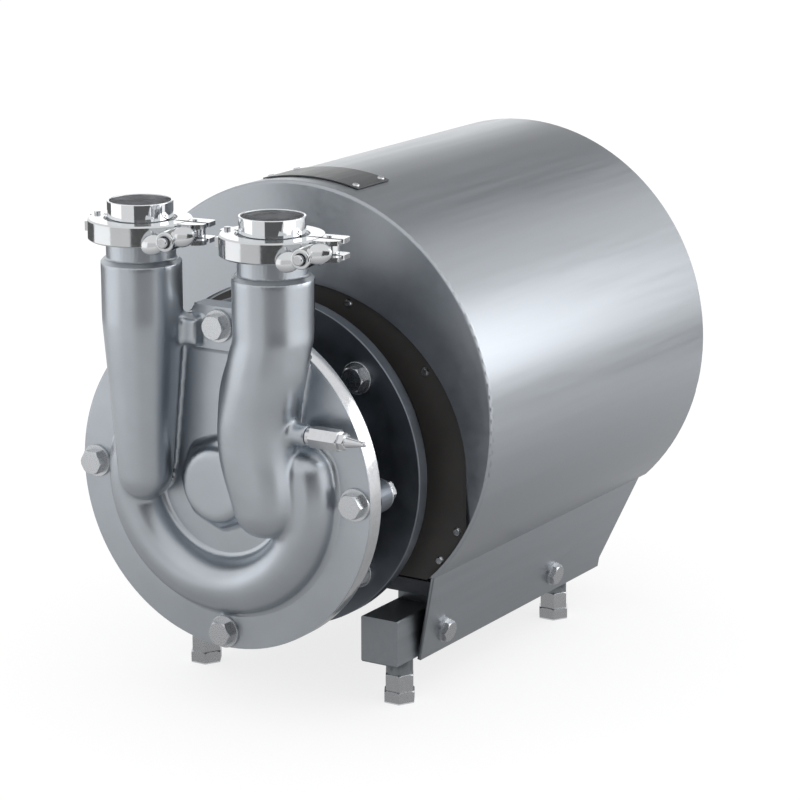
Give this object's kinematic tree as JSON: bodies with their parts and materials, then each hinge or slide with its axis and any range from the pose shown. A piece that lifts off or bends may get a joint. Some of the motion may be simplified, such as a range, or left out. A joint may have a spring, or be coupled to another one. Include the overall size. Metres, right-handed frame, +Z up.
{
  "type": "self-priming pump",
  "caption": "Stainless self-priming side channel pump with upright clamp ports, close coupled to a foot-mounted motor under a rolled sheet shroud on adjustable feet.",
  "frame": {"origin": "on the floor, in the middle of the pump's outline", "axes": "+Z up, +Y back along the shaft from the cover to the shroud's rear, +X to the right seen from the front"},
  "size_m": [0.36, 0.5392, 0.4163],
  "materials": {
    "blasted_casting": "cast stainless steel, fine bead blasted",
    "casing_steel": "turned stainless steel, dull grey",
    "fastener_steel": "plain stainless fasteners",
    "polished_steel": "mirror polished stainless steel",
    "clamp_steel": "investment cast stainless, polished",
    "bright_steel": "turned and ground steel",
    "shroud_steel": "satin stainless sheet",
    "rail_steel": "satin stainless box section",
    "motor_aluminium": "die cast aluminium, painted grey",
    "motor_paint": "grey motor enamel",
    "baffle_paint": "matt black sheet",
    "plate_dark": "dark plain plate, no text",
    "black_plastic": "black moulded plastic",
    "black_rubber": "black nitrile and spring seal",
    "gasket_rubber": "pale silicone gasket",
    "seal_ceramic": "fine ceramic seal seat"
  },
  "bodies": {
    "base": {"front_cover": "blasted_casting", "rear_casing": "casing_steel", "casing_o_ring": "black_rubber", "cover_bolts": "fastener_steel", "bolt_washers": "fastener_steel", "cover_nuts": "fastener_steel", "lantern": "casing_steel", "casing_screws": "fastener_steel", "lantern_bolts": "fastener_steel", "seal_seat": "seal_ceramic", "motor_front_shield": "motor_paint", "front_bearing": "bright_steel", "rear_bearing": "bright_steel", "motor_housing": "motor_aluminium", "stator_core": "motor_paint", "motor_rear_shield": "motor_paint", "fan_cowl": "motor_paint", "terminal_box": "motor_paint", "terminal_lid": "motor_paint", "cable_gland": "black_plastic", "motor_shims": "rail_steel", "motor_foot_bolts": "fastener_steel", "left_rail": "rail_steel", "right_rail": "rail_steel", "lock_nuts": "fastener_steel", "shroud": "shroud_steel", "skirt_bolts": "fastener_steel", "front_baffle": "baffle_paint", "baffle_screws": "fastener_steel", "name_plate": "plate_dark", "name_plate_rivets": "fastener_steel", "rear_grille": "shroud_steel", "rear_grille_screws": "fastener_steel", "suction_ferrule": "polished_steel", "discharge_ferrule": "polished_steel", "ferrule_gaskets": "gasket_rubber", "left_clamp_front": "clamp_steel", "left_clamp_back": "clamp_steel", "right_clamp_front": "clamp_steel", "right_clamp_back": "clamp_steel", "clamp_pins": "bright_steel", "bleed_valve_body": "bright_steel"},
    "rotor": {"shaft": "bright_steel", "impeller": "polished_steel", "impeller_key": "fastener_steel", "impeller_nut": "fastener_steel", "seal_rotary": "black_rubber", "rotor_core": "bright_steel", "fan": "black_plastic"},
    "left_bolt": {"left_eye_bolt": "bright_steel"},
    "right_bolt": {"right_eye_bolt": "bright_steel"},
    "left_nut": {"left_wing_nut": "clamp_steel"},
    "right_nut": {"right_wing_nut": "clamp_steel"},
    "bleed": {"bleed_screw": "bright_steel"},
    "front_left_foot": {"foot_front_left": "fastener_steel"},
    "front_right_foot": {"foot_front_right": "fastener_steel"},
    "rear_left_foot": {"foot_rear_left": "fastener_steel"},
    "rear_right_foot": {"foot_rear_right": "fastener_steel"}
  },
  "joints": [
    {"name": "rotor_spin", "type": "hinge", "parent": "base", "child": "rotor", "pos_m": [0, -0.20828, 0.194], "axis": [0, 1, 0], "continuous": true},
    {"name": "front_left_height", "type": "slide", "parent": "base", "child": "front_left_foot", "axis": [0, 0, -1], "range_m": [0, 0.015]},
    {"name": "front_right_height", "type": "slide", "parent": "base", "child": "front_right_foot", "axis": [0, 0, -1], "range_m": [0, 0.015]},
    {"name": "rear_left_height", "type": "slide", "parent": "base", "child": "rear_left_foot", "axis": [0, 0, -1], "range_m": [0, 0.015]},
    {"name": "rear_right_height", "type": "slide", "parent": "base", "child": "rear_right_foot", "axis": [0, 0, -1], "range_m": [0, 0.015]},
    {"name": "left_bolt_swing", "type": "hinge", "parent": "base", "child": "left_bolt", "pos_m": [-0.0184, -0.21372, 0.392], "axis": [0, 0, 1], "range_deg": [0, 14]},
    {"name": "right_bolt_swing", "type": "hinge", "parent": "base", "child": "right_bolt", "pos_m": [0.1036, -0.21372, 0.392], "axis": [0, 0, 1], "range_deg": [0, 100]},
    {"name": "left_nut_turn", "type": "hinge", "parent": "left_bolt", "child": "left_nut", "pos_m": [-0.01562, -0.23353, 0.392], "axis": [0.1392, -0.9903, 0], "continuous": true},
    {"name": "right_nut_turn", "type": "hinge", "parent": "right_bolt", "child": "right_nut", "pos_m": [0.10638, -0.23353, 0.392], "axis": [0.1392, -0.9903, 0], "continuous": true},
    {"name": "bleed_turn", "type": "hinge", "parent": "base", "child": "bleed", "pos_m": [0.121, -0.22678, 0.248], "axis": [1, 0, 0], "range_deg": [0, 360]}
  ]
}
